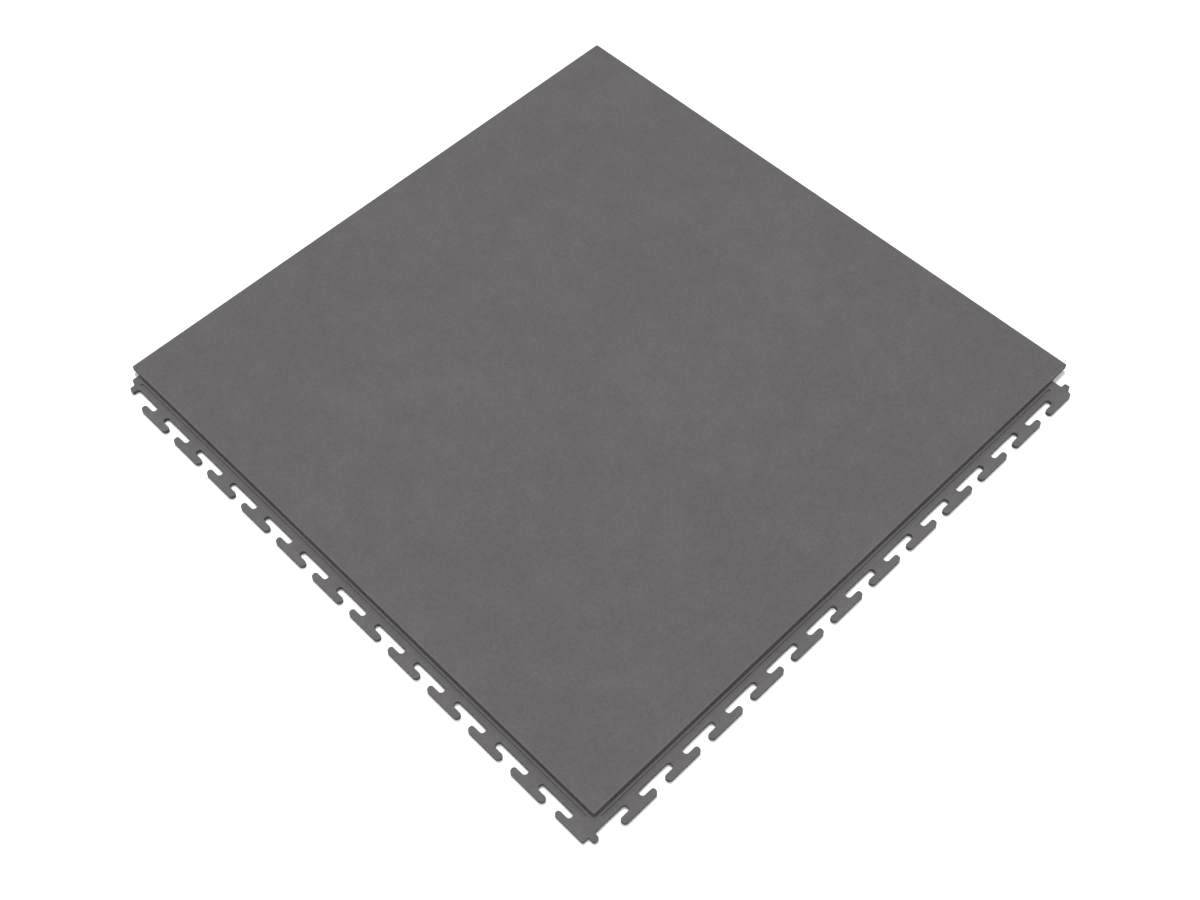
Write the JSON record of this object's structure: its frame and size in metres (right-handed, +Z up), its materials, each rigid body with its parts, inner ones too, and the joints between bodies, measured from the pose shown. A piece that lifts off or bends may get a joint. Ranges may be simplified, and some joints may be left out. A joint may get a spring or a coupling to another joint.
{
  "type": "interlocking floor tile",
  "caption": "Square grey pvc floor tile with T-shaped tabs on two sides and matching bosses hidden under the overhang of the other two.",
  "frame": {"origin": "centre of the square wear plate, on the face that lies on the floor", "axes": "+Z up out of the wear face; the tabs come out towards -X and -Y, and the plate overhangs towards +X and +Y"},
  "size_m": [0.5177, 0.5177, 0.007],
  "materials": {
    "pvc": "matt, fine grain"
  },
  "bodies": {
    "root": {"floor_tile": "pvc"}
  },
  "joints": []
}
